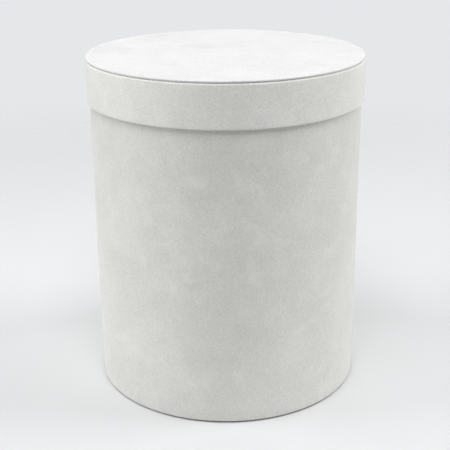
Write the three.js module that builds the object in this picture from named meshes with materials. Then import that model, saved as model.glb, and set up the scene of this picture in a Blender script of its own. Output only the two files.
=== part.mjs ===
// Round florist's flower box with a lift-off lid.
//
// A greyboard tube and a greyboard ring, each wrapped in pile fabric whose edges are turned over the
// rims, with a board disc closing the bottom of the box and another closing the top of the lid. The
// inside is lined with white paper. The lid drops over the box like a cap and rests on its rim.
//
// Millimetres, +Z up. The origin is the centre of the box's underside.

import * as THREE from 'three';

// ---------------------------------------------------------------------------------------------
// Driving dimensions
// ---------------------------------------------------------------------------------------------
const SIDES = 56;               // facets round every turned piece, the same for all so that layers nest

// Box
const BOX_R = 112.5;            // outside radius over the fabric
const BOX_FABRIC = 0.6;         // pile fabric with its glue
const TUBE_WALL = 2.1;          // greyboard wall
const GLUE = 0.1;               // room between glued layers
const RIM_Z = 278.75;           // top of the box's fabric-covered rim
const RIM_ROUND = 1.0;          // rounding of the turned fabric at the rims
const TURN_IN_TOP = 18;         // depth that the fabric is turned down inside the mouth
const TURN_IN_BASE = 11;        // height that the fabric is turned up inside the foot
const PAPER = 0.3;              // lining paper with its glue
const LINING_BELOW_RIM = 8;     // the wall lining stops this far under the rim
const BASE_RECESS = 1.2;        // the bottom disc sits this far up inside the foot
const BASE_BOARD = 2.2;         // greyboard of the bottom disc

// Lid
const LID_R = 115;              // outside radius over the fabric
const LID_BOTTOM_Z = 244.9;     // lower rim of the lid, on the closed box
const LID_TOP_Z = 281;          // top of the closed box
const BAND_FABRIC = 0.45;       // fabric on the band
const RING_WALL = 1.0;          // greyboard ring
const BAND_ROUND = 0.5;         // rounding of the turned fabric at the band's lower rim
const BAND_SHOULDER = 1.5;      // rounding of the band's upper edge, under the disc
const BAND_TURN_IN = 13;        // height that the fabric is turned up inside the lid
const RING_PAPER = 0.15;        // lining paper of the ring
const TOP_R = 114.6;            // outside radius of the lid's disc over its fabric
const TOP_FABRIC = 0.35;        // fabric on the lid's disc
const TOP_BOARD = 1.0;          // greyboard of the lid's disc
const TOP_GLUE = 0.05;
const TOP_TURN_IN = 15;         // width of the fabric turned under the disc
const TOP_PAPER = 0.2;          // paper disc under the lid's disc

// ---------------------------------------------------------------------------------------------
// Materials
// ---------------------------------------------------------------------------------------------
const finish = (color, roughness) =>
  new THREE.MeshStandardMaterial({ color, roughness, metalness: 0 });

// ---------------------------------------------------------------------------------------------
// Turning: a closed section in (radius, height), or one that starts and ends on the axis, given
// anticlockwise, so that its outer side runs upward.
// ---------------------------------------------------------------------------------------------
function turned(name, section, material) {
  const points = section.map(([r, z]) => new THREE.Vector2(r, z));
  const geometry = new THREE.LatheGeometry(points, SIDES);
  geometry.rotateX(Math.PI / 2);
  const mesh = new THREE.Mesh(geometry, material);
  mesh.name = name;
  return mesh;
}

const closed = (section) => [...section, section[0]];

// Quarter round about (cr, cz) from angle a to angle b in degrees, with its ends.
function round(cr, cz, radius, a, b, steps) {
  const points = [];
  for (let i = 0; i <= steps; i += 1) {
    const t = THREE.MathUtils.degToRad(a + ((b - a) * i) / steps);
    points.push([cr + radius * Math.cos(t), cz + radius * Math.sin(t)]);
  }
  return points;
}

const disc = (radius, low, high) => [[0, low], [radius, low], [radius, high], [0, high]];

// A board ring with its four arrises eased.
const easedRing = (inner, outer, low, high, ease) => closed([
  [inner + ease, low], [outer - ease, low], [outer, low + ease], [outer, high - ease],
  [outer - ease, high], [inner + ease, high], [inner, high - ease], [inner, low + ease],
]);

// ---------------------------------------------------------------------------------------------
// Radii worked out from the layers
// ---------------------------------------------------------------------------------------------
const tubeOuter = BOX_R - BOX_FABRIC - GLUE;
const tubeInner = tubeOuter - TUBE_WALL;
const turnOuter = tubeInner - GLUE;             // fabric turned inside the tube
const turnInner = turnOuter - BOX_FABRIC;
const liningOver = turnInner - GLUE;            // lining where it laps over the turned fabric
const liningWall = turnOuter;                   // lining straight on the tube

const baseLow = BASE_RECESS;
const baseBoardLow = baseLow + PAPER + GLUE;
const baseBoardHigh = baseBoardLow + BASE_BOARD;
const floorLow = baseBoardHigh + GLUE;
const floorHigh = floorLow + PAPER;

// ---------------------------------------------------------------------------------------------
// Box
// ---------------------------------------------------------------------------------------------
const box = new THREE.Group();
box.name = 'box';

// Greyboard tube, all the height of the wall, inside its fabric.
box.add(turned(
  'body_tube',
  easedRing(tubeInner, tubeOuter, BOX_FABRIC + GLUE, RIM_Z - BOX_FABRIC - GLUE, 0.3),
  finish(0xa9a296, 0.95),
));

// Pile fabric sleeve: up inside the mouth, over the rim, down the wall, under the foot and up inside
// it. One section with an even thickness and rounded turns.
{
  const r = RIM_ROUND;
  const q = r - BOX_FABRIC;
  const lowTurn = TURN_IN_BASE;
  const highTurn = RIM_Z - TURN_IN_TOP;
  const skin = [
    // the free end inside the foot, then the outside of the sleeve
    [turnInner, lowTurn],
    ...round(turnInner + r, r, r, 180, 270, 2),
    ...round(BOX_R - r, r, r, 270, 360, 2),
    ...round(BOX_R - r, RIM_Z - r, r, 0, 90, 2),
    ...round(turnInner + r, RIM_Z - r, r, 90, 180, 2),
    // the free end inside the mouth, then the glued side back to the foot
    [turnInner, highTurn],
    [turnOuter, highTurn],
    ...round(turnInner + r, RIM_Z - r, q, 180, 90, 1),
    ...round(BOX_R - r, RIM_Z - r, q, 90, 0, 1),
    ...round(BOX_R - r, r, q, 0, -90, 1),
    ...round(turnInner + r, r, q, 270, 180, 1),
    [turnOuter, lowTurn],
  ];
  box.add(turned('body_cover', closed(skin), finish(0xe6e7e2, 0.95)));
}

// White paper wall lining. It laps over the turned fabric at the foot and at the mouth, and lies
// straight on the tube between them.
{
  const footTop = TURN_IN_BASE + 0.5;
  const mouthLow = RIM_Z - TURN_IN_TOP - 0.5;
  const step = liningWall - liningOver;
  const low = floorHigh + GLUE;
  const high = RIM_Z - LINING_BELOW_RIM;
  box.add(turned('body_lining', closed([
    [liningOver - PAPER, low],
    [liningOver, low],
    [liningOver, footTop],
    [liningWall, footTop + step],
    [liningWall, mouthLow - step],
    [liningOver, mouthLow],
    [liningOver, high],
    [liningOver - PAPER, high],
    [liningOver - PAPER, mouthLow - PAPER / 2],
    [liningWall - PAPER, mouthLow - step - PAPER / 2],
    [liningWall - PAPER, footTop + step + PAPER / 2],
    [liningOver - PAPER, footTop + PAPER / 2],
  ]), finish(0xf4f3ee, 0.8)));
}

// Bottom: a greyboard disc pushed up inside the foot, papered on both faces.
box.add(turned('base_cover', disc(turnInner - 0.4, baseLow, baseLow + PAPER), finish(0xeeede8, 0.8)));
box.add(turned('base_board', disc(turnInner - 0.2, baseBoardLow, baseBoardHigh), finish(0xa9a296, 0.95)));
box.add(turned('base_lining', disc(turnInner - 0.4, floorLow, floorHigh), finish(0xf4f3ee, 0.8)));

// ---------------------------------------------------------------------------------------------
// Lid, in its own group: heights below are above the lid's lower rim.
// ---------------------------------------------------------------------------------------------
const lid = new THREE.Group();
lid.name = 'lid';
lid.position.z = LID_BOTTOM_Z;

const lidTop = LID_TOP_Z - LID_BOTTOM_Z;
const topBoardHigh = lidTop - TOP_FABRIC - TOP_GLUE;
const topBoardLow = topBoardHigh - TOP_BOARD;
const topTurnLow = topBoardLow - TOP_GLUE - TOP_FABRIC;  // underside of the fabric-covered disc
const bandTop = topTurnLow - TOP_GLUE;                   // top of the fabric-covered ring

const ringOuter = LID_R - BAND_FABRIC - GLUE;
const ringInner = ringOuter - RING_WALL;
const bandTurnOuter = ringInner - GLUE;
const bandTurnInner = bandTurnOuter - BAND_FABRIC;

// Greyboard ring of the band, its outer upper arris rounded over.
{
  const low = BAND_FABRIC + GLUE;
  const high = bandTop - BAND_FABRIC - GLUE;
  const shoulder = BAND_SHOULDER - BAND_FABRIC - GLUE;
  const ease = 0.25;
  lid.add(turned('lid_ring', closed([
    [ringInner + ease, low],
    [ringOuter - ease, low],
    [ringOuter, low + ease],
    ...round(ringOuter - shoulder, high - shoulder, shoulder, 0, 90, 3),
    [ringInner, high],
    [ringInner, low + ease],
  ]), finish(0xa9a296, 0.95)));
}

// Fabric of the band: over the ring's top edge, down the outside, under the lower rim and up inside.
{
  const r = BAND_ROUND;
  const q = r - BAND_FABRIC;
  const s = BAND_SHOULDER;
  const skin = [
    [bandTurnInner, BAND_TURN_IN],
    ...round(bandTurnInner + r, r, r, 180, 270, 2),
    ...round(LID_R - r, r, r, 270, 360, 2),
    ...round(LID_R - s, bandTop - s, s, 0, 90, 3),
    [ringInner, bandTop],
    [ringInner, bandTop - BAND_FABRIC],
    ...round(LID_R - s, bandTop - s, s - BAND_FABRIC, 90, 0, 3),
    ...round(LID_R - r, r, q, 0, -90, 1),
    ...round(bandTurnInner + r, r, q, 270, 180, 1),
    [bandTurnOuter, BAND_TURN_IN],
  ];
  lid.add(turned('lid_band_cover', closed(skin), finish(0xe6e7e2, 0.95)));
}

// White paper inside the band, lapping over the fabric turned up from the lower rim.
{
  const over = bandTurnInner - TOP_GLUE;
  const wall = ringInner - TOP_GLUE;
  const step = wall - over;
  const lapLow = BAND_TURN_IN - 4;
  const lapHigh = BAND_TURN_IN + 0.4;
  const high = bandTop - 0.1;
  lid.add(turned('lid_ring_lining', closed([
    [over - RING_PAPER, lapLow],
    [over, lapLow],
    [over, lapHigh],
    [wall, lapHigh + step],
    [wall, high],
    [wall - RING_PAPER, high],
    [wall - RING_PAPER, lapHigh + step + RING_PAPER / 2],
    [over - RING_PAPER, lapHigh + RING_PAPER / 2],
  ]), finish(0xf4f3ee, 0.8)));
}

// Top disc: greyboard, fabric over it and round its edge to the underside, and a paper disc that
// covers the turned fabric. It lies on the ring's fabric-covered edge, a little inside the band's
// outside, so a fine groove runs round between its edge and the band's rounded shoulder.
const edgeRound = (lidTop - topTurnLow) / 2;
lid.add(turned('lid_board', [
  [0, topBoardLow],
  ...round(TOP_R - edgeRound, lidTop - edgeRound, TOP_BOARD / 2, -90, 90, 4),
  [0, topBoardHigh],
], finish(0xa9a296, 0.95)));
{
  const r = edgeRound;
  const q = r - TOP_FABRIC;
  const turnEnd = TOP_R - TOP_TURN_IN;
  lid.add(turned('lid_top_cover', [
    [0, lidTop - TOP_FABRIC],
    ...round(TOP_R - r, lidTop - r, q, 90, -90, 4),
    [turnEnd, topTurnLow + TOP_FABRIC],
    [turnEnd, topTurnLow],
    ...round(TOP_R - r, lidTop - r, r, -90, 90, 4),
    [0, lidTop],
  ], finish(0xeeefeb, 0.95)));
}
{
  const paperR = ringInner - 2.2;
  const stepR = TOP_R - TOP_TURN_IN - 0.5;
  const rise = topBoardLow - TOP_GLUE - (topTurnLow - TOP_GLUE);
  const low = topTurnLow - TOP_GLUE - TOP_PAPER;
  lid.add(turned('lid_board_lining', [
    [0, low + rise], [stepR - rise, low + rise], [stepR, low], [paperR, low],
    [paperR, low + TOP_PAPER], [stepR, low + TOP_PAPER],
    [stepR - rise, low + TOP_PAPER + rise], [0, low + TOP_PAPER + rise],
  ], finish(0xf4f3ee, 0.8)));
}

// ---------------------------------------------------------------------------------------------
const flowerBox = new THREE.Group();
flowerBox.name = 'flower_box';
flowerBox.add(box, lid);

export default flowerBox;
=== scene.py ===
import math

import bpy
import numpy as np
from mathutils import Matrix, Vector


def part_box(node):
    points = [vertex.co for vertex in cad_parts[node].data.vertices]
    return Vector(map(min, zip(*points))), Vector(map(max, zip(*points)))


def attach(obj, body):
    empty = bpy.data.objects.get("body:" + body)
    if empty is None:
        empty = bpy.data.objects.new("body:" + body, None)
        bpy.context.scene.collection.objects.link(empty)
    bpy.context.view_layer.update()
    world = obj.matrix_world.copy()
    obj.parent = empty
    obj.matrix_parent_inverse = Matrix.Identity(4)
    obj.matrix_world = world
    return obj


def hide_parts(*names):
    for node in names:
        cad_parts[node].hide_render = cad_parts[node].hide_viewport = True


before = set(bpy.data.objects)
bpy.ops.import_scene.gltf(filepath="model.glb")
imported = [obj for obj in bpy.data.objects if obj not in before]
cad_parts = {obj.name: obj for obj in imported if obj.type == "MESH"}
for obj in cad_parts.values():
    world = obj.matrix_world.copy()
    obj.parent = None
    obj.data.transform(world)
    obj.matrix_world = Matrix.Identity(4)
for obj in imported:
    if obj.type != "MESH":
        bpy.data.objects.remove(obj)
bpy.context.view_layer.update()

MM = 0.001
BACK = math.radians(90.0)  # +Y, where the covering's lap seams are


def span(node):
    """A CAD node's outside radius, lowest and highest z, in millimetres."""
    low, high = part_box(node)
    return high.x / MM, low.z / MM, high.z / MM


BOX_R, FOOT_Z, RIM_Z = span("body_cover")
TUBE_R, TUBE_LOW, TUBE_HIGH = span("body_tube")
LINING_R, LINING_LOW, LINING_HIGH = span("body_lining")
LID_R, BAND_LOW, BAND_HIGH = span("lid_band_cover")
RING_R, RING_LOW, RING_HIGH = span("lid_ring")
RLINING_R, RLINING_LOW, RLINING_HIGH = span("lid_ring_lining")
TOP_R, TOP_LOW, TOP_HIGH = span("lid_top_cover")
TBOARD_R, TBOARD_LOW, TBOARD_HIGH = span("lid_board")
TLINING_R, TLINING_LOW, TLINING_HIGH = span("lid_board_lining")

FABRIC = 0.6          # pile fabric on the box, with its glue
TUBE_WALL = 2.1
BAND_FABRIC = 0.45
RING_WALL = 1.0
PAPER = 0.3
RING_PAPER = 0.15
TOP_FABRIC = 0.35
TURN_IN_TOP = 18.0    # fabric turned down inside the mouth
TURN_IN_FOOT = 11.0   # and up inside the foot
BAND_TURN_IN = 13.0
TUBE_IN = TUBE_R - TUBE_WALL
TURN_IN = TUBE_IN - 0.1 - FABRIC   # inside radius of the turned fabric
RING_IN = RING_R - RING_WALL
BAND_IN = RING_IN - 0.1 - BAND_FABRIC


# ---------------------------------------------------------------------------------------------
# Small deviations from a true circle. All are smooth, repeat round the circle and hold no chance.
# ---------------------------------------------------------------------------------------------
def smooth(x, a, b):
    t = np.clip((np.asarray(x, float) - a) / (b - a), 0, 1)
    return t * t * (3 - 2 * t)


def out_of_round(phi, z):
    """How far the wall stands off its circle, the same for every layer of it, fading out where the lid sits and at the foot."""
    w = (
        0.10 * np.sin(2 * phi + 0.9)
        + 0.06 * np.sin(3 * phi + z / 85 + 2.2)
        + 0.035 * np.sin(7 * phi - z / 47 + 0.4)
        + 0.02 * np.sin(12 * phi + z / 31 + 1.7)
    )
    return w * smooth(z, 1, 30) * (1 - smooth(z, 205, 240))


def glue_bumps(phi, z):
    """Faint lifts of the fabric where the glue took unevenly."""
    return (
        0.028 * np.sin(17 * phi + z / 9.0 + 0.7) * np.sin(z / 21.0 + 2 * phi)
        + 0.018 * np.sin(29 * phi - z / 6.5) * np.sin(z / 13.0 - 3 * phi + 1.1)
    )


def ragged(phi, seed, size=0.5):
    """A hand-cut edge's drift, in millimetres along the fabric."""
    return size * (
        0.6 * np.sin(2 * phi + seed)
        + 0.4 * np.sin(5 * phi + 2.3 * seed)
        + 0.28 * np.sin(11 * phi + 0.7 * seed)
        + 0.16 * np.sin(23 * phi + 1.9 * seed)
    )


# ---------------------------------------------------------------------------------------------
# Sections: a line in (radius, z) with the side that shows to its right, as (r, z, nr, nz) rows.
# ---------------------------------------------------------------------------------------------
def line(a, b, steps, last=False):
    (r0, z0), (r1, z1) = a, b
    d = np.array([r1 - r0, z1 - z0])
    d = d / np.linalg.norm(d)
    t = np.linspace(0, 1, steps + 1)
    t = t if last else t[:-1]
    return [(r0 + (r1 - r0) * k, z0 + (z1 - z0) * k, d[1], -d[0]) for k in t]


def turn(centre, radius, a, b, steps, last=False):
    t = np.radians(np.linspace(a, b, steps + 1))
    t = t if last else t[:-1]
    return [
        (centre[0] + radius * math.cos(x), centre[1] + radius * math.sin(x), math.cos(x), math.sin(x))
        for x in t
    ]


def finish_mesh(name, verts, faces, material, angle=38):
    mesh = bpy.data.meshes.new(name)
    mesh.from_pydata([tuple(v) for v in np.asarray(verts) * MM], [], faces)
    mesh.validate()
    mesh.polygons.foreach_set("use_smooth", [True] * len(mesh.polygons))
    mesh.set_sharp_from_angle(angle=math.radians(angle))
    mesh.materials.append(material)
    mesh.update()
    ob = bpy.data.objects.new(name, mesh)
    bpy.context.scene.collection.objects.link(ob)
    return ob


def around(seam, lap_mm, radius, step_mm=2.5, fine_mm=0.3, zone_mm=4.0):
    """Angles from the seam right round and past it by the lap, close together near both ends of the strip."""
    lap = lap_mm / radius
    total = 2 * math.pi + lap
    fine, zone, step = fine_mm / radius, zone_mm / radius, step_mm / radius
    marks = sorted({0.0, lap, 2 * math.pi, total})
    t, out = 0.0, [0.0]
    while t < total - 1e-9:
        near = min(abs(t - m) for m in marks)
        d = fine if near < zone else min(step, fine + (near - zone) * 0.35)
        t = min(t + d, total)
        out.append(t)
    if out[-1] - out[-2] < fine * 0.4:
        out.pop(-2)
    return np.array(out) + seam, lap


def strip(name, path, thick, seam, lap_mm, radius, material, wall=None, rag=None, rise=0.28, press=None, step_mm=2.5, taper=0.55):
    """A strip of sheet wrapped once round the axis, whose last lap_mm lie over its first.
    path: the section's rows, its middle line. thick: the sheet's thickness. rise: how far the
    overlying end stands proud, one number or one for each row. wall(phi, z): how far every layer stands off its circle.
    rag(phi, k): how far the free end k (0 first, 1 last) runs on."""
    rows = np.array(path, float)
    phis, lap = around(seam, lap_mm, radius, step_mm)
    total = phis[-1] - phis[0]
    m = len(rows)
    press = thick - np.min(rise) if press is None else press
    shown, glued = [], []
    along0 = np.array([rows[1, 0] - rows[0, 0], rows[1, 1] - rows[0, 1]])
    along1 = np.array([rows[-1, 0] - rows[-2, 0], rows[-1, 1] - rows[-2, 1]])
    along0, along1 = along0 / np.linalg.norm(along0), along1 / np.linalg.norm(along1)
    reach = 6
    for phi in phis:
        t = phi - phis[0]
        ride = lap * radius  # mm of lap
        under = 1 - smooth(t * radius, ride - 0.1, ride + 0.9)        # 1 where this stretch is under the lap
        over = smooth(t * radius, (2 * math.pi) * radius - 2.6, (2 * math.pi) * radius - 0.15)
        out = np.full(m, thick / 2)
        inn = np.full(m, -thick / 2)
        out = out - under * (thick - press)
        inn = inn + over * (press - 0.0 + 0.01)
        out = out + over * np.asarray(rise)
        ends = np.ones(m)
        ends[0] = ends[-1] = taper
        mid = (out + inn) / 2
        half = (out - inn) / 2
        cut = 1.0
        edge = (total - t) * radius
        if edge < 0.35:
            cut = taper + (1 - taper) * math.sqrt(max(0.0, 1 - (1 - edge / 0.35) ** 2))
        out_k = mid + half * ends * cut
        inn_k = mid - half * ends * cut if edge < 0.35 else mid - half * ends
        if edge < 0.35:
            inn_k = inn  # the glued side stays down at the cut end
        r, z = rows[:, 0].copy(), rows[:, 1].copy()
        if rag is not None:
            for k, along in ((0, along0), (1, along1)):
                push = rag(phi, k) * (-1 if k == 0 else 1)
                for i in range(reach):
                    j = i if k == 0 else m - 1 - i
                    share = 1 - i / reach
                    r[j] += along[0] * push * share
                    z[j] += along[1] * push * share
        if wall is not None:
            r = r + wall(phi, z)
        c, s = math.cos(phi), math.sin(phi)
        for store, d in ((shown, out_k), (glued, inn_k)):
            rr, zz = r + rows[:, 2] * d, z + rows[:, 3] * d
            store.append(np.stack([rr * c, rr * s, zz], 1))
    n = len(phis)
    verts = np.concatenate([np.concatenate(shown), np.concatenate(glued)])
    a = lambda j, i: j * m + i
    b = lambda j, i: n * m + j * m + i
    faces = []
    for j in range(n - 1):
        for i in range(m - 1):
            faces.append((a(j, i), a(j + 1, i), a(j + 1, i + 1), a(j, i + 1)))
            faces.append((b(j, i), b(j, i + 1), b(j + 1, i + 1), b(j + 1, i)))
        faces.append((a(j, 0), b(j, 0), b(j + 1, 0), a(j + 1, 0)))
        faces.append((a(j, m - 1), a(j + 1, m - 1), b(j + 1, m - 1), b(j, m - 1)))
    for i in range(m - 1):
        faces.append((a(0, i), a(0, i + 1), b(0, i + 1), b(0, i)))
        faces.append((a(n - 1, i), b(n - 1, i), b(n - 1, i + 1), a(n - 1, i + 1)))
    return finish_mesh(name, verts, faces, material)


def ring(name, section, material, sides=240, wall=None, angle=38):
    """A closed section (r, z), anticlockwise, turned round the axis. Points on the axis become one point each."""
    pts = np.array(section, float)
    on_axis = pts[:, 0] < 1e-6
    m = len(pts)
    verts, index = [], np.zeros((sides, m), int)
    for i in range(m):
        if on_axis[i]:
            index[:, i] = len(verts)
            verts.append((0, 0, pts[i, 1]))
    for j in range(sides):
        phi = 2 * math.pi * j / sides
        for i in range(m):
            if not on_axis[i]:
                r, z = pts[i]
                if wall is not None:
                    dr, dz = wall(phi, r, z, i)
                    r, z = r + dr, z + dz
                index[j, i] = len(verts)
                verts.append((r * math.cos(phi), r * math.sin(phi), z))
    faces = []
    count = m if not on_axis.any() else m - 1
    for j in range(sides):
        k = (j + 1) % sides
        for i in range(count):
            p, q = i, (i + 1) % m
            quad = [index[j, p], index[k, p], index[k, q], index[j, q]]
            seen = []
            for v in quad:
                if v not in seen:
                    seen.append(int(v))
            if len(seen) > 2:
                faces.append(tuple(seen))
    return finish_mesh(name, verts, faces, material, angle)


# ---------------------------------------------------------------------------------------------
# Materials. Every pattern is in the object's own coordinates, in metres.
# ---------------------------------------------------------------------------------------------
class Nodes:
    """Short calls for a material's node tree."""

    def __init__(self, name):
        self.mat = bpy.data.materials.new(name)
        self.mat.use_nodes = True
        self.nt = self.mat.node_tree
        self.nt.nodes.clear()
        self.out = self.nt.nodes.new("ShaderNodeOutputMaterial")
        self.bsdf = self.nt.nodes.new("ShaderNodeBsdfPrincipled")
        self.nt.links.new(self.bsdf.outputs[0], self.out.inputs["Surface"])
        self.coord = self.nt.nodes.new("ShaderNodeTexCoord").outputs["Object"]

    def link(self, a, b):
        self.nt.links.new(a, b)

    def mapping(self, scale=(1, 1, 1), shift=(0, 0, 0), rotation=(0, 0, 0)):
        n = self.nt.nodes.new("ShaderNodeMapping")
        n.inputs["Scale"].default_value = scale
        n.inputs["Location"].default_value = shift
        n.inputs["Rotation"].default_value = rotation
        self.link(self.coord, n.inputs["Vector"])
        return n.outputs[0]

    def noise(self, scale, detail=2.0, rough=0.5, distortion=0.0, vector=None, lacunarity=2.0):
        n = self.nt.nodes.new("ShaderNodeTexNoise")
        n.inputs["Scale"].default_value = scale
        n.inputs["Detail"].default_value = detail
        n.inputs["Roughness"].default_value = rough
        n.inputs["Distortion"].default_value = distortion
        n.inputs["Lacunarity"].default_value = lacunarity
        self.link(self.coord if vector is None else vector, n.inputs["Vector"])
        return n.outputs["Fac"] if "Fac" in n.outputs else n.outputs[0]

    def voronoi(self, scale, vector=None, feature="F1", randomness=1.0):
        n = self.nt.nodes.new("ShaderNodeTexVoronoi")
        n.feature = feature
        n.inputs["Scale"].default_value = scale
        n.inputs["Randomness"].default_value = randomness
        self.link(self.coord if vector is None else vector, n.inputs["Vector"])
        return n.outputs["Distance"]

    def math(self, op, a, b=None, clamp=False):
        n = self.nt.nodes.new("ShaderNodeMath")
        n.operation = op
        n.use_clamp = clamp
        for i, v in enumerate((a, b)):
            if v is None:
                continue
            if isinstance(v, (int, float)):
                n.inputs[i].default_value = v
            else:
                self.link(v, n.inputs[i])
        return n.outputs[0]

    def spread(self, value, low, high, to_low=0.0, to_high=1.0, smooth_it=False):
        n = self.nt.nodes.new("ShaderNodeMapRange")
        n.interpolation_type = "SMOOTHSTEP" if smooth_it else "LINEAR"
        n.clamp = True
        for i, v in enumerate((low, high, to_low, to_high)):
            n.inputs[i + 1].default_value = v
        self.link(value, n.inputs[0])
        return n.outputs[0]

    def ramp(self, value, stops):
        n = self.nt.nodes.new("ShaderNodeValToRGB")
        while len(n.color_ramp.elements) < len(stops):
            n.color_ramp.elements.new(0.5)
        for e, (at, colour) in zip(n.color_ramp.elements, stops):
            e.position = at
            e.color = (*colour, 1)
        self.link(value, n.inputs[0])
        return n.outputs["Color"]

    def bump(self, height, strength, distance, normal=None):
        n = self.nt.nodes.new("ShaderNodeBump")
        n.inputs["Strength"].default_value = strength
        n.inputs["Distance"].default_value = distance
        self.link(height, n.inputs["Height"])
        if normal is not None:
            self.link(normal, n.inputs["Normal"])
        return n.outputs[0]


def total(m, terms):
    """A sum of weight times (value - 0.5)."""
    acc = None
    for value, weight in terms:
        term = m.math("MULTIPLY", m.math("SUBTRACT", value, 0.5), weight)
        acc = term if acc is None else m.math("ADD", acc, term)
    return acc


def pile_fabric(name, shift, colour=(0.846, 0.832, 0.800), clouds=1.0, marks=0.055, sheen=0.35, seam=None):
    """Suede-like pile fabric: short fibres that lie this way or that in soft patches, over a fine grain.
    marks: how much lighter, or darker where it is negative, the spots are where the pile was pressed by handling.
    seam: the angle round the axis of an upright cut edge, along which the pile is pressed flat and a little darker."""
    m = Nodes(name)
    at = m.mapping(shift=shift)
    patch = m.spread(m.noise(24.0, 1.5, 0.5, 0.25, at), 0.34, 0.68, smooth_it=True)   # patches of 20 to 40 mm
    blot = m.spread(m.noise(62.0, 3.0, 0.55, 0.3, at), 0.3, 0.72, smooth_it=True)     # blots of 6 to 15 mm
    mottle = m.noise(210.0, 3.0, 0.6, 0.2, at)                                        # 3 to 5 mm
    tufts = m.noise(520.0, 2.0, 0.6, 0.0, at)                                         # 2 mm
    grain = m.noise(950.0, 2.0, 0.65, 0.0, at)                                        # 1 mm
    fibre = m.noise(2600.0, 2.0, 0.7, 0.0, at)
    spot = m.spread(
        m.noise(38.0, 2.0, 0.5, 0.5, m.mapping(shift=(shift[1] + 0.9, shift[2] + 0.2, shift[0] + 1.6))), 0.57, 0.74, smooth_it=True,
    )                                                                                 # spots of 10 to 25 mm, a few of them
    tone = total(m, [
        (m.math("ADD", spot, 0.43), marks), (patch, 0.042 * clouds), (blot, 0.036 * clouds), (mottle, 0.05),
        (tufts, 0.11), (grain, 0.41), (fibre, 0.44),
    ])
    tone = m.math("ADD", tone, 0.5)
    if seam is not None:
        xyz = m.nt.nodes.new("ShaderNodeSeparateXYZ")
        m.link(m.coord, xyz.inputs[0])
        x, y = xyz.outputs[0], xyz.outputs[1]
        c, s = math.cos(seam), math.sin(seam)
        across = m.math("ADD", m.math("MULTIPLY", x, -s), m.math("MULTIPLY", y, c))
        out = m.math("ADD", m.math("MULTIPLY", x, c), m.math("MULTIPLY", y, s))
        drift = m.math("MULTIPLY", m.math("SUBTRACT", m.noise(90.0, 2.0, 0.5, 0.0, at), 0.5), 0.0006)
        near = m.spread(m.math("ABSOLUTE", m.math("ADD", across, drift)), 0.0002, 0.0011, 1.0, 0.0, smooth_it=True)
        side = m.spread(out, 0.02, 0.03)
        tone = m.math("SUBTRACT", tone, m.math("MULTIPLY", m.math("MULTIPLY", near, side), 0.11))
    r, g, b = colour
    dark, light = 0.5, 1.5
    m.link(
        m.ramp(tone, [(0.0, (r * dark, g * dark, b * dark)), (1.0, (r * light, g * light, b * light))]),
        m.bsdf.inputs["Base Color"],
    )
    rough = m.math("ADD", total(m, [(patch, 0.08), (grain, 0.1)]), 0.93, clamp=True)
    m.link(rough, m.bsdf.inputs["Roughness"])
    height = m.math(
        "ADD",
        m.math("ADD", m.math("MULTIPLY", grain, 0.8), m.math("MULTIPLY", tufts, 0.7)),
        m.math("ADD", m.math("MULTIPLY", fibre, 0.4), m.math("MULTIPLY", mottle, 0.6)),
    )
    soft = m.bump(blot, 0.35, 0.0004)
    m.link(m.bump(height, 0.6, 0.00025, soft), m.bsdf.inputs["Normal"])
    m.bsdf.inputs["Specular IOR Level"].default_value = 0.25
    m.bsdf.inputs["Sheen Weight"].default_value = sheen
    m.bsdf.inputs["Sheen Roughness"].default_value = 0.45
    m.bsdf.inputs["Sheen Tint"].default_value = (1.0, 1.0, 0.985, 1)
    return m.mat


def white_paper(name, shift, colour=(0.85, 0.843, 0.81), grain=1.0):
    """Uncoated lining paper: a faint cloud from its fibres, and soft waves where it was glued."""
    m = Nodes(name)
    at = m.mapping(shift=shift)
    cloud = m.noise(120.0, 5.0, 0.6, 0.4, at)
    specks = m.noise(1500.0, 3.0, 0.7, 0.0, at)
    fibres = m.noise(420.0, 4.0, 0.7, 1.2, at)
    waves = m.noise(34.0, 2.0, 0.5, 0.5, at)
    tone = m.math("ADD", total(m, [(cloud, 0.05), (fibres, 0.05 * grain), (specks, 0.05 * grain)]), 0.5)
    r, g, b = colour
    m.link(
        m.ramp(tone, [(0.0, (r * 0.5, g * 0.5, b * 0.48)), (1.0, (r * 1.5, g * 1.5, b * 1.52))]),
        m.bsdf.inputs["Base Color"],
    )
    m.link(m.math("ADD", total(m, [(cloud, 0.12), (fibres, 0.1)]), 0.68), m.bsdf.inputs["Roughness"])
    soft = m.bump(waves, 0.5, 0.0006)
    m.link(m.bump(m.math("ADD", fibres, specks), 0.35, 0.00008, soft), m.bsdf.inputs["Normal"])
    m.bsdf.inputs["Specular IOR Level"].default_value = 0.35
    return m.mat


def grey_board(name, shift):
    """Recycled greyboard: grey-brown pulp with dark and pale flecks."""
    m = Nodes(name)
    at = m.mapping(shift=shift)
    cloud = m.noise(60.0, 5.0, 0.6, 0.3, at)
    fleck = m.voronoi(700.0, at)
    flecks = m.spread(fleck, 0.05, 0.22)
    fibres = m.noise(900.0, 4.0, 0.7, 0.8, at)
    tone = m.math("ADD", total(m, [(cloud, 0.16), (fibres, 0.2), (flecks, 0.12)]), 0.5)
    m.link(
        m.ramp(tone, [(0.0, (0.20, 0.18, 0.15)), (0.5, (0.42, 0.39, 0.34)), (1.0, (0.62, 0.59, 0.53))]),
        m.bsdf.inputs["Base Color"],
    )
    m.link(m.math("ADD", total(m, [(fibres, 0.12)]), 0.88), m.bsdf.inputs["Roughness"])
    m.link(m.bump(fibres, 0.5, 0.00012), m.bsdf.inputs["Normal"])
    m.bsdf.inputs["Specular IOR Level"].default_value = 0.3
    return m.mat


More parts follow.
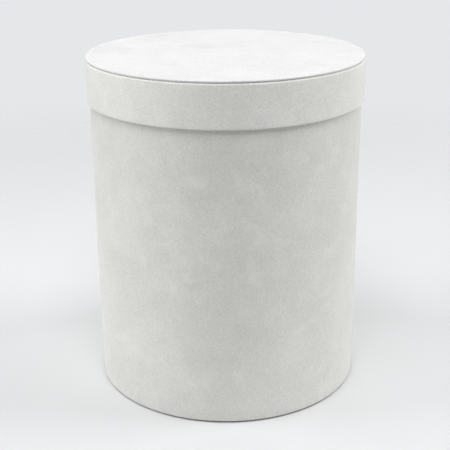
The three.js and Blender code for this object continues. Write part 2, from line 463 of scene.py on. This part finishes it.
body_fabric = pile_fabric("pile_fabric_body", (0.31, 0.72, 0.13), colour=(0.826, 0.8252, 0.791), seam=BACK + 9.0 / BOX_R)
# The band and the top are the same pile fabric as the body. The band's base colour is painted lighter, as painted
# light, and the top's is painted darker, as painted shade, to stand in for how the lamps fall on them.
band_fabric_painted_light = pile_fabric("pile_fabric_band_painted_light", (1.83, 0.27, 0.91), colour=(0.906, 0.9045, 0.869), seam=BACK + math.radians(7) + 9.0 / LID_R)
top_fabric_painted_shade = pile_fabric("pile_fabric_top_painted_shade", (0.55, 2.41, 0.37), colour=(0.75, 0.748, 0.75), clouds=0.85, marks=-0.055)
paper_wall = white_paper("lining_paper_wall", (0.2, 0.4, 0.6))
paper_floor = white_paper("lining_paper_floor", (1.2, 0.1, 0.3))
paper_lid = white_paper("lining_paper_lid", (0.7, 1.9, 0.2))
paper_band = white_paper("lining_paper_band", (2.7, 1.1, 0.2))
paper_base = white_paper("base_paper", (2.2, 0.9, 1.4), colour=(0.80, 0.79, 0.755), grain=1.6)
board_tube = grey_board("greyboard_tube", (0.1, 0.2, 0.3))
board_base = grey_board("greyboard_base", (1.1, 0.4, 0.8))
board_ring = grey_board("greyboard_ring", (0.6, 1.3, 0.2))
board_top = grey_board("greyboard_top", (0.9, 0.7, 1.9))

# ---------------------------------------------------------------------------------------------
# Box
# ---------------------------------------------------------------------------------------------
r_turn = 1.0                     # outside rounding of the turned fabric
mid = FABRIC / 2
wall_r = BOX_R - mid
in_r = TURN_IN + mid
cover_path = (
    line((in_r, FOOT_Z + TURN_IN_FOOT), (in_r, FOOT_Z + r_turn), 7)
    + turn((TURN_IN + r_turn, FOOT_Z + r_turn), r_turn - mid, 180, 270, 4)
    + line((TURN_IN + r_turn, FOOT_Z + mid), (BOX_R - r_turn, FOOT_Z + mid), 2)
    + turn((BOX_R - r_turn, FOOT_Z + r_turn), r_turn - mid, 270, 360, 5)
    + line((wall_r, FOOT_Z + r_turn), (wall_r, RIM_Z - r_turn), 30)
    + turn((BOX_R - r_turn, RIM_Z - r_turn), r_turn - mid, 0, 90, 5)
    + line((BOX_R - r_turn, RIM_Z - mid), (TURN_IN + r_turn, RIM_Z - mid), 2)
    + turn((TURN_IN + r_turn, RIM_Z - r_turn), r_turn - mid, 90, 180, 5)
    + line((in_r, RIM_Z - r_turn), (in_r, RIM_Z - TURN_IN_TOP), 8, last=True)
)
body_cover = strip(
    "body_cover_fabric", cover_path, FABRIC, BACK, 9.0, BOX_R, body_fabric,
    wall=lambda phi, z: out_of_round(phi, z) + glue_bumps(phi, z) * smooth(z, 2, 25) * (1 - smooth(z, 215, 240)),
    rag=lambda phi, k: ragged(phi, 1.3 + 2.1 * k, 0.55),
    rise=[
        0.2 + 0.22 * float(smooth(z, 2, 10)) * (1 - float(smooth(z, 222, 241))) if r > wall_r - 0.1 else 0.2
        for r, z, *_ in cover_path
    ],
)
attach(body_cover, "box")
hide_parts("body_cover")

ease = 0.3
body_tube = ring(
    "body_tube_board",
    [
        (TUBE_IN + ease, TUBE_LOW), (TUBE_R - ease, TUBE_LOW), (TUBE_R, TUBE_LOW + ease),
        *[(TUBE_R, z) for z in np.linspace(TUBE_LOW + ease, TUBE_HIGH - ease, 22)[1:-1]],
        (TUBE_R, TUBE_HIGH - ease), (TUBE_R - ease, TUBE_HIGH), (TUBE_IN + ease, TUBE_HIGH), (TUBE_IN, TUBE_HIGH - ease),
        *[(TUBE_IN, z) for z in np.linspace(TUBE_HIGH - ease, TUBE_LOW + ease, 22)[1:-1]],
        (TUBE_IN, TUBE_LOW + ease),
    ],
    board_tube, sides=160, wall=lambda phi, r, z, i: (out_of_round(phi, z), 0.0),
)
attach(body_tube, "box")
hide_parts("body_tube")

# Wall lining: on the tube, and lapping over the turned fabric at the foot and at the mouth.
over_r = TURN_IN - 0.1 - PAPER / 2
on_r = TUBE_IN - 0.1 - PAPER / 2
foot_edge, mouth_edge = TURN_IN_FOOT + 0.5, RIM_Z - TURN_IN_TOP - 0.5
lining_path = (
    line((over_r, LINING_HIGH), (over_r, mouth_edge), 5)
    + line((over_r, mouth_edge), (on_r, mouth_edge - 2.4), 4)
    + line((on_r, mouth_edge - 2.4), (on_r, foot_edge + 2.4), 24)
    + line((on_r, foot_edge + 2.4), (over_r, foot_edge), 4)
    + line((over_r, foot_edge), (over_r, LINING_LOW), 4, last=True)
)
body_lining = strip(
    "body_lining_paper", lining_path, PAPER, BACK + math.radians(31), 12.0, over_r, paper_wall,
    wall=lambda phi, z: out_of_round(phi, z) - 0.5 * np.abs(glue_bumps(phi + 0.3, z)),
    rag=lambda phi, k: ragged(phi, 4.1, 0.35) if k == 0 else 0.0,
    rise=0.16, taper=0.8, step_mm=3.2,
)
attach(body_lining, "box")
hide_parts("body_lining")

# Bottom: the disc and the paper on both of its faces.
low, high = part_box("base_board")
b_r, b_low, b_high = high.x / MM, low.z / MM, high.z / MM
base_board = ring(
    "base_board_disc",
    [(0, b_low), (b_r * 0.5, b_low), (b_r - 0.3, b_low), (b_r, b_low + 0.3), (b_r, b_high - 0.3), (b_r - 0.3, b_high), (b_r * 0.5, b_high), (0, b_high)],
    board_base, sides=160,
)
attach(base_board, "box")
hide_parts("base_board")


def paper_disc(name, node, material, body, swell):
    """A glued paper disc: a sheet with an eased rim and soft waves no deeper than swell."""
    low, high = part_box(node)
    r, lo, hi = high.x / MM, low.z / MM, high.z / MM
    radii = [r * k for k in (0.1, 0.2, 0.3, 0.4, 0.5, 0.6, 0.7, 0.8, 0.88, 0.95)]

    def waves(phi, rr, z, i):
        share = smooth(r - rr, 0.5, 12)
        w = (
            0.4 * np.sin(3 * phi + rr / 17 + 0.6) + 0.35 * np.sin(5 * phi - rr / 11 + 2.0) + 0.25 * np.sin(8 * phi + rr / 7.3)
        ) * smooth(rr, 0, 14)
        return 0.0, swell * share * w

    ob = ring(
        name,
        [(0, lo)] + [(x, lo) for x in radii] + [(r - 0.08, lo), (r, lo + 0.07), (r, hi - 0.07), (r - 0.08, hi)]
        + [(x, hi) for x in reversed(radii)] + [(0, hi)],
        material, sides=180, wall=waves,
    )
    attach(ob, body)
    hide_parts(node)
    return ob


base_cover = paper_disc("base_cover_paper", "base_cover", paper_base, "box", 0.05)
base_lining = paper_disc("base_lining_paper", "base_lining", paper_floor, "box", 0.05)

# ---------------------------------------------------------------------------------------------
# Lid
# ---------------------------------------------------------------------------------------------
band_turn = 0.5
shoulder = 1.5
bmid = BAND_FABRIC / 2
band_seam = BACK + math.radians(7)
band_path = (
    line((BAND_IN + bmid, BAND_LOW + BAND_TURN_IN), (BAND_IN + bmid, BAND_LOW + band_turn), 6)
    + turn((BAND_IN + band_turn, BAND_LOW + band_turn), band_turn - bmid, 180, 270, 4)
    + line((BAND_IN + band_turn, BAND_LOW + bmid), (LID_R - band_turn, BAND_LOW + bmid), 1)
    + turn((LID_R - band_turn, BAND_LOW + band_turn), band_turn - bmid, 270, 360, 5)
    + line((LID_R - bmid, BAND_LOW + band_turn), (LID_R - bmid, BAND_HIGH - shoulder), 10)
    + turn((LID_R - shoulder, BAND_HIGH - shoulder), shoulder - bmid, 0, 90, 7, last=True)
)
band_cover = strip(
    "lid_band_fabric", band_path, BAND_FABRIC, band_seam, 9.0, LID_R, band_fabric_painted_light,
    wall=lambda phi, z: np.where(np.asarray(z) > BAND_LOW + 1.0, 0.6 * glue_bumps(phi + 1.0, z + 30), 0.0) * (np.abs(np.asarray(z) - (BAND_LOW + BAND_HIGH) / 2) < 15),
    rag=lambda phi, k: ragged(phi, 2.7, 0.5) if k == 0 else 0.0,
    rise=0.15,
)
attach(band_cover, "lid")
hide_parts("lid_band_cover")

ring_round = shoulder - BAND_FABRIC - 0.1
lid_ring = ring(
    "lid_ring_board",
    [
        (RING_IN + 0.25, RING_LOW), (RING_R - 0.25, RING_LOW), (RING_R, RING_LOW + 0.25),
        (RING_R, (RING_LOW + RING_HIGH) / 2),
        *[
            (RING_R - ring_round + ring_round * math.cos(a), RING_HIGH - ring_round + ring_round * math.sin(a))
            for a in np.radians(np.linspace(0, 90, 6))
        ],
        (RING_IN, RING_HIGH), (RING_IN, (RING_LOW + RING_HIGH) / 2), (RING_IN, RING_LOW + 0.25),
    ],
    board_ring, sides=200,
)
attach(lid_ring, "lid")
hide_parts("lid_ring")

# Paper inside the band, lapping over the fabric turned up from the lower edge.
p_over = BAND_IN - 0.05 - RING_PAPER / 2
p_wall = RING_IN - 0.05 - RING_PAPER / 2
turn_top = BAND_LOW + BAND_TURN_IN
ring_lining_path = (
    line((p_wall, RLINING_HIGH), (p_wall, turn_top + 1.8), 8)
    + line((p_wall, turn_top + 1.8), (p_over, turn_top + 0.4), 3)
    + line((p_over, turn_top + 0.4), (p_over, RLINING_LOW), 4, last=True)
)
ring_lining = strip(
    "lid_ring_paper", ring_lining_path, RING_PAPER, band_seam + math.radians(40), 10.0, p_wall, paper_band,
    rag=lambda phi, k: ragged(phi, 5.9, 0.35) if k == 1 else 0.0,
    rise=0.08, taper=0.8, step_mm=3.2,
)
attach(ring_lining, "lid")
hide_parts("lid_ring_lining")

# Top disc: board, its fabric with a soft rolled edge, and the paper under it.
e_half = (TOP_HIGH - TOP_LOW) / 2
b_half = (TBOARD_HIGH - TBOARD_LOW) / 2
b_mid = (TBOARD_HIGH + TBOARD_LOW) / 2
lid_board = ring(
    "lid_board_disc",
    [(0, TBOARD_LOW), (60, TBOARD_LOW)]
    + [(TOP_R - e_half + b_half * math.cos(a), b_mid + b_half * math.sin(a)) for a in np.radians(np.linspace(-90, 90, 7))]
    + [(60, TBOARD_HIGH), (0, TBOARD_HIGH)],
    board_top, sides=160,
)
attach(lid_board, "lid")
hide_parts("lid_board")


def top_waves(phi, r, z, i):
    """The fabric over the disc is a little proud where the glue took unevenly, and its rim drifts by hundredths."""
    x, y = r * math.cos(phi), r * math.sin(phi)
    flat = 1 - smooth(r, TOP_R - 8, TOP_R - 1.5)
    upper = 1.0 if z > TOP_HIGH - 0.02 else 0.0
    w = 0.03 * (math.sin(x / 13 + 0.4) * math.sin(y / 17 + 1.1) + 0.6 * math.sin(x / 6.1 - y / 9.3))
    rim = 0.03 * math.sin(9 * phi + 0.6) + 0.02 * math.sin(16 * phi + 2.0) if r > TOP_R - 2 else 0.0
    return rim, w * flat * upper


q_half = e_half - TOP_FABRIC
turn_end = TOP_R - 15.0
plan = [0, 8, 16, 24, 32, 40, 48, 56, 64, 72, 80, 88, 95, 101, 106, 110, 112.6]
top_section = (
    [(r, TOP_HIGH - TOP_FABRIC) for r in plan[:1]]
    + [(r, TOP_HIGH - TOP_FABRIC) for r in (40, 80, 104)]
    + [(TOP_R - e_half + q_half * math.cos(a), TOP_LOW + e_half + q_half * math.sin(a)) for a in np.radians(np.linspace(90, -90, 9))]
    + [(turn_end + 7, TOP_LOW + TOP_FABRIC), (turn_end, TOP_LOW + TOP_FABRIC - 0.05), (turn_end - 0.05, TOP_LOW + TOP_FABRIC / 2), (turn_end, TOP_LOW + 0.02), (turn_end + 7, TOP_LOW)]
    + [(TOP_R - e_half + e_half * math.cos(a), TOP_LOW + e_half + e_half * math.sin(a)) for a in np.radians(np.linspace(-90, 90, 15))]
    + [(r, TOP_HIGH) for r in reversed(plan)]
)
top_cover = ring("lid_top_fabric", top_section, top_fabric_painted_shade, sides=300, wall=top_waves)
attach(top_cover, "lid")
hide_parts("lid_top_cover")

# Paper under the lid's disc. It dips where it crosses the turned fabric, and shows its notches faintly.
step_r = TOP_R - 15.5
paper_step = TLINING_HIGH - TLINING_LOW - 0.2


def pleats(phi, r, z, i):
    near = smooth(r, step_r - 2, step_r + 1) * (1 - smooth(r, TLINING_R - 5, TLINING_R - 1))
    ridge = np.maximum(0.0, np.cos(26 * phi + 0.7 * math.sin(3 * phi))) ** 8
    return 0.0, -0.08 * near * ridge


radii = [step_r - 0.6, step_r - 0.3, step_r, step_r + 0.8, step_r + 4, step_r + 8, TLINING_R - 0.6]
dip = [1.0, 0.8, 0.15, 0.0, 0.0, 0.0, 0.0]
inner = [0, 20, 40, 60, 80, 92, step_r - 1.6]
board_lining = ring(
    "lid_board_paper",
    [(r, TLINING_LOW + paper_step) for r in inner]
    + [(r, TLINING_LOW + paper_step * d) for r, d in zip(radii, dip)]
    + [(TLINING_R, TLINING_LOW + 0.04), (TLINING_R, TLINING_LOW + 0.16)]
    + [(r, TLINING_LOW + 0.2 + paper_step * d) for r, d in zip(reversed(radii), reversed(dip))]
    + [(r, TLINING_LOW + 0.2 + paper_step) for r in reversed(inner)],
    paper_lid, sides=312, wall=pleats,
)
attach(board_lining, "lid")
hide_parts("lid_board_lining")

# ---------------------------------------------------------------------------------------------
# Stage, light and camera
# ---------------------------------------------------------------------------------------------
def stage_material(name, colour):
    m = Nodes(name)
    cloud = m.noise(3.0, 2.0, 0.5)
    tone = m.math("ADD", total(m, [(cloud, 0.02)]), 0.5)
    r, g, b = colour
    m.link(m.ramp(tone, [(0.0, (r * 0.5, g * 0.5, b * 0.5)), (1.0, (r * 1.5, g * 1.5, b * 1.5))]), m.bsdf.inputs["Base Color"])
    m.bsdf.inputs["Roughness"].default_value = 0.85
    m.bsdf.inputs["Specular IOR Level"].default_value = 0.2
    return m.mat


def fading_floor(name, colour, whole, gone):
    """A plain matt floor that fades out between two distances from the box, so that it has no edge or horizon."""
    mat = stage_material(name, colour)
    nt = mat.node_tree
    bsdf = next(n for n in nt.nodes if n.type == "BSDF_PRINCIPLED")
    out = next(n for n in nt.nodes if n.type == "OUTPUT_MATERIAL")
    coord = nt.nodes.new("ShaderNodeTexCoord")
    length = nt.nodes.new("ShaderNodeVectorMath")
    length.operation = "LENGTH"
    nt.links.new(coord.outputs["Object"], length.inputs[0])
    fade = nt.nodes.new("ShaderNodeMapRange")
    fade.interpolation_type = "SMOOTHERSTEP"
    fade.inputs["From Min"].default_value = whole
    fade.inputs["From Max"].default_value = gone
    nt.links.new(length.outputs["Value"], fade.inputs["Value"])
    clear = nt.nodes.new("ShaderNodeBsdfTransparent")
    mix = nt.nodes.new("ShaderNodeMixShader")
    nt.links.new(fade.outputs["Result"], mix.inputs[0])
    nt.links.new(bsdf.outputs[0], mix.inputs[1])
    nt.links.new(clear.outputs[0], mix.inputs[2])
    nt.links.new(mix.outputs[0], out.inputs["Surface"])
    return mat


floor_mesh = bpy.data.meshes.new("studio_floor")
edge = [(1.3 * math.cos(2 * math.pi * k / 96), 1.3 * math.sin(2 * math.pi * k / 96), 0.0) for k in range(96)]
floor_mesh.from_pydata(edge, [], [tuple(range(96))])
floor_mesh.materials.append(fading_floor("studio_floor", (0.745, 0.75, 0.76), 0.42, 1.2))
floor = bpy.data.objects.new("studio_floor", floor_mesh)
bpy.context.scene.collection.objects.link(floor)
floor.location.z = FOOT_Z * MM - 0.0013

scene = bpy.context.scene
scene.view_settings.view_transform = "Standard"
scene.view_settings.look = "None"
scene.view_settings.exposure = 0.0
scene.view_settings.gamma = 1.0

# The studio's far wall is pale where it is seen, and adds next to nothing to the light.
world = bpy.data.worlds.new("studio")
world.use_nodes = True
nt = world.node_tree
nt.nodes.clear()
out = nt.nodes.new("ShaderNodeOutputWorld")
seen = nt.nodes.new("ShaderNodeBackground")
seen.inputs["Color"].default_value = (0.79, 0.80, 0.82, 1)
lit = nt.nodes.new("ShaderNodeBackground")
lit.inputs["Color"].default_value = (1, 1, 1, 1)
lit.inputs["Strength"].default_value = 0.03
rays = nt.nodes.new("ShaderNodeLightPath")
pick = nt.nodes.new("ShaderNodeMixShader")
nt.links.new(rays.outputs["Is Camera Ray"], pick.inputs[0])
nt.links.new(lit.outputs[0], pick.inputs[1])
nt.links.new(seen.outputs[0], pick.inputs[2])
nt.links.new(pick.outputs[0], out.inputs["Surface"])
scene.world = world


def softbox(name, azimuth, height, side, power, reach=1.9, colour=(1, 1, 1)):
    """A square soft light that faces the box. azimuth: degrees round from the front, to the right. height: degrees up."""
    a, e = math.radians(azimuth), math.radians(height)
    aim = Vector((0, 0, 0.2))
    at = aim + reach * Vector((math.cos(e) * math.sin(a), -math.cos(e) * math.cos(a), math.sin(e)))
    data = bpy.data.lights.new(name, "AREA")
    data.shape = "SQUARE"
    data.size = side
    data.energy = power
    data.color = colour
    ob = bpy.data.objects.new(name, data)
    ob.location = at
    ob.rotation_mode = "QUATERNION"
    ob.rotation_quaternion = (aim - at).to_track_quat("-Z", "Y")
    bpy.context.scene.collection.objects.link(ob)
    ob.visible_camera = False
    return ob


softbox("softbox_above_front", 0, 62, 0.9, 16.9)
softbox("softbox_above_left", -60, 62, 0.9, 4.9)
softbox("softbox_above_back", 180, 62, 0.9, 3.0)
softbox("softbox_front_left", -45, 38, 0.9, 3.1)
softbox("softbox_left", -90, 38, 0.9, 7.1)
softbox("softbox_right", 90, 38, 0.9, 14.4)
softbox("softbox_back_left", -135, 38, 0.9, 3.1)
softbox("softbox_back_right", 135, 38, 0.9, 2.8)
softbox("softbox_back", 180, 38, 0.9, 3.2)
softbox("fill_left", -90, 12, 0.9, 8.1)
softbox("fill_right", 90, 12, 0.9, 5.1)
softbox("fill_back_right", 135, 12, 0.9, 3.1)
softbox("fill_back_left", -135, 12, 0.9, 1.3)

# The camera stands where the photograph was taken from: 20.3 degrees above the horizon, 0.86 m away.
elevation, roll, distance, aim_z = math.radians(20.346), math.radians(-0.473), 0.86372, 0.12912
back = Vector((0, -math.cos(elevation), math.sin(elevation)))
right = Vector((1, 0, 0))
up = back.cross(right)
c, s = math.cos(roll), math.sin(roll)
x_axis = c * right + s * up
y_axis = -s * right + c * up
cam_data = bpy.data.cameras.new("camera")
cam_data.sensor_width = 36.0
cam_data.lens = 986.53 / 450 * 36.0
cam_data.clip_start, cam_data.clip_end = 0.01, 60.0
cam = bpy.data.objects.new("camera", cam_data)
eye = Vector((-0.00144, 0, aim_z)) + distance * back
cam.matrix_world = Matrix((
    (x_axis.x, y_axis.x, back.x, eye.x),
    (x_axis.y, y_axis.y, back.y, eye.y),
    (x_axis.z, y_axis.z, back.z, eye.z),
    (0, 0, 0, 1),
))
scene.collection.objects.link(cam)
scene.camera = cam
